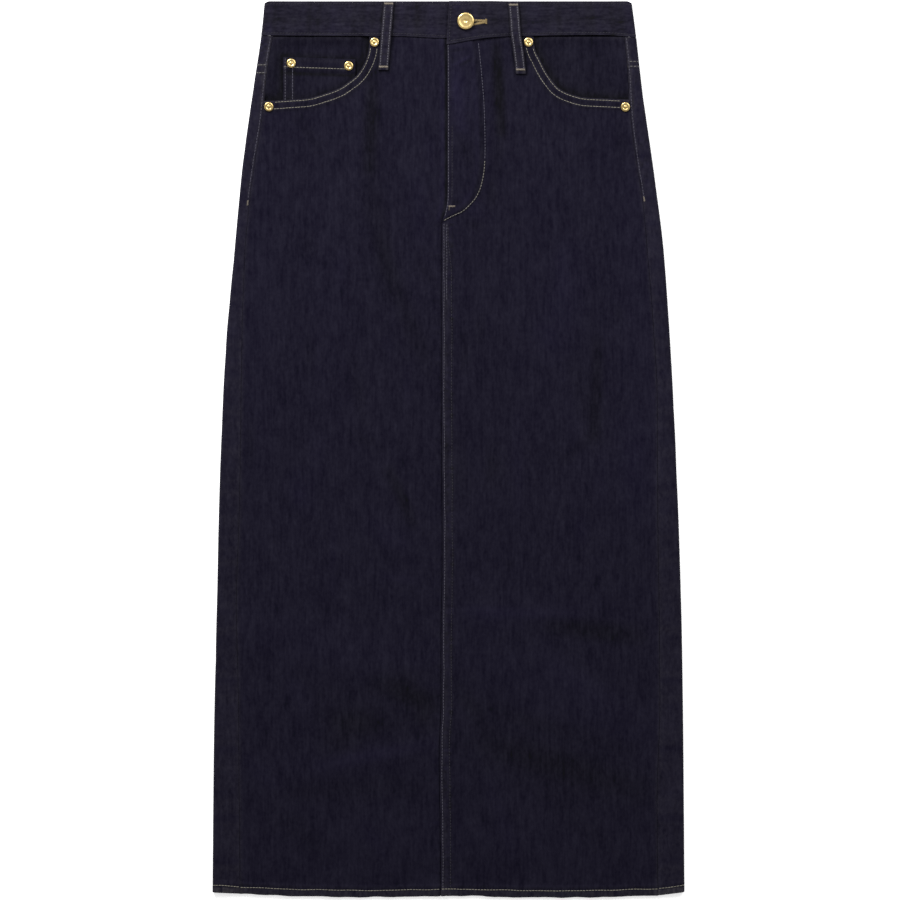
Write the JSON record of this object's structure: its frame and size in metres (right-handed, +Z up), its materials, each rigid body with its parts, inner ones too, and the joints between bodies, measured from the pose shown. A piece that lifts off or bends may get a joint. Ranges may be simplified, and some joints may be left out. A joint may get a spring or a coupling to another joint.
{
  "type": "denim skirt",
  "caption": "Long straight denim skirt laid flat, with front fly, curved front pockets, coin pocket, belt loops and centre front seam.",
  "frame": {"origin": "on the surface that the skirt lies on, under the middle of its outline", "axes": "+Z up out of the front, +Y to the waist, +X to the wearer's left"},
  "size_m": [0.4722, 0.8963, 0.0129],
  "materials": {
    "denim": "dark indigo cotton twill, matt, faint lengthwise slubs, grey-lilac topstitching",
    "brass": "pale gold metal, satin with bright rims"
  },
  "bodies": {
    "root": {"waistband": "denim", "front_panel_right": "denim", "front_panel_left": "denim", "fly_facing": "denim", "back_panel_right": "denim", "back_panel_left": "denim", "back_yoke": "denim", "pocket_facing_right": "denim", "pocket_facing_left": "denim", "coin_pocket": "denim", "belt_loop_right": "denim", "belt_loop_left": "denim", "rivet_right_pocket_top": "brass", "rivet_right_pocket_side": "brass", "rivet_left_pocket_top": "brass", "rivet_left_pocket_side": "brass", "rivet_coin_outer": "brass", "rivet_coin_inner": "brass", "waist_button": "brass"}
  },
  "joints": []
}
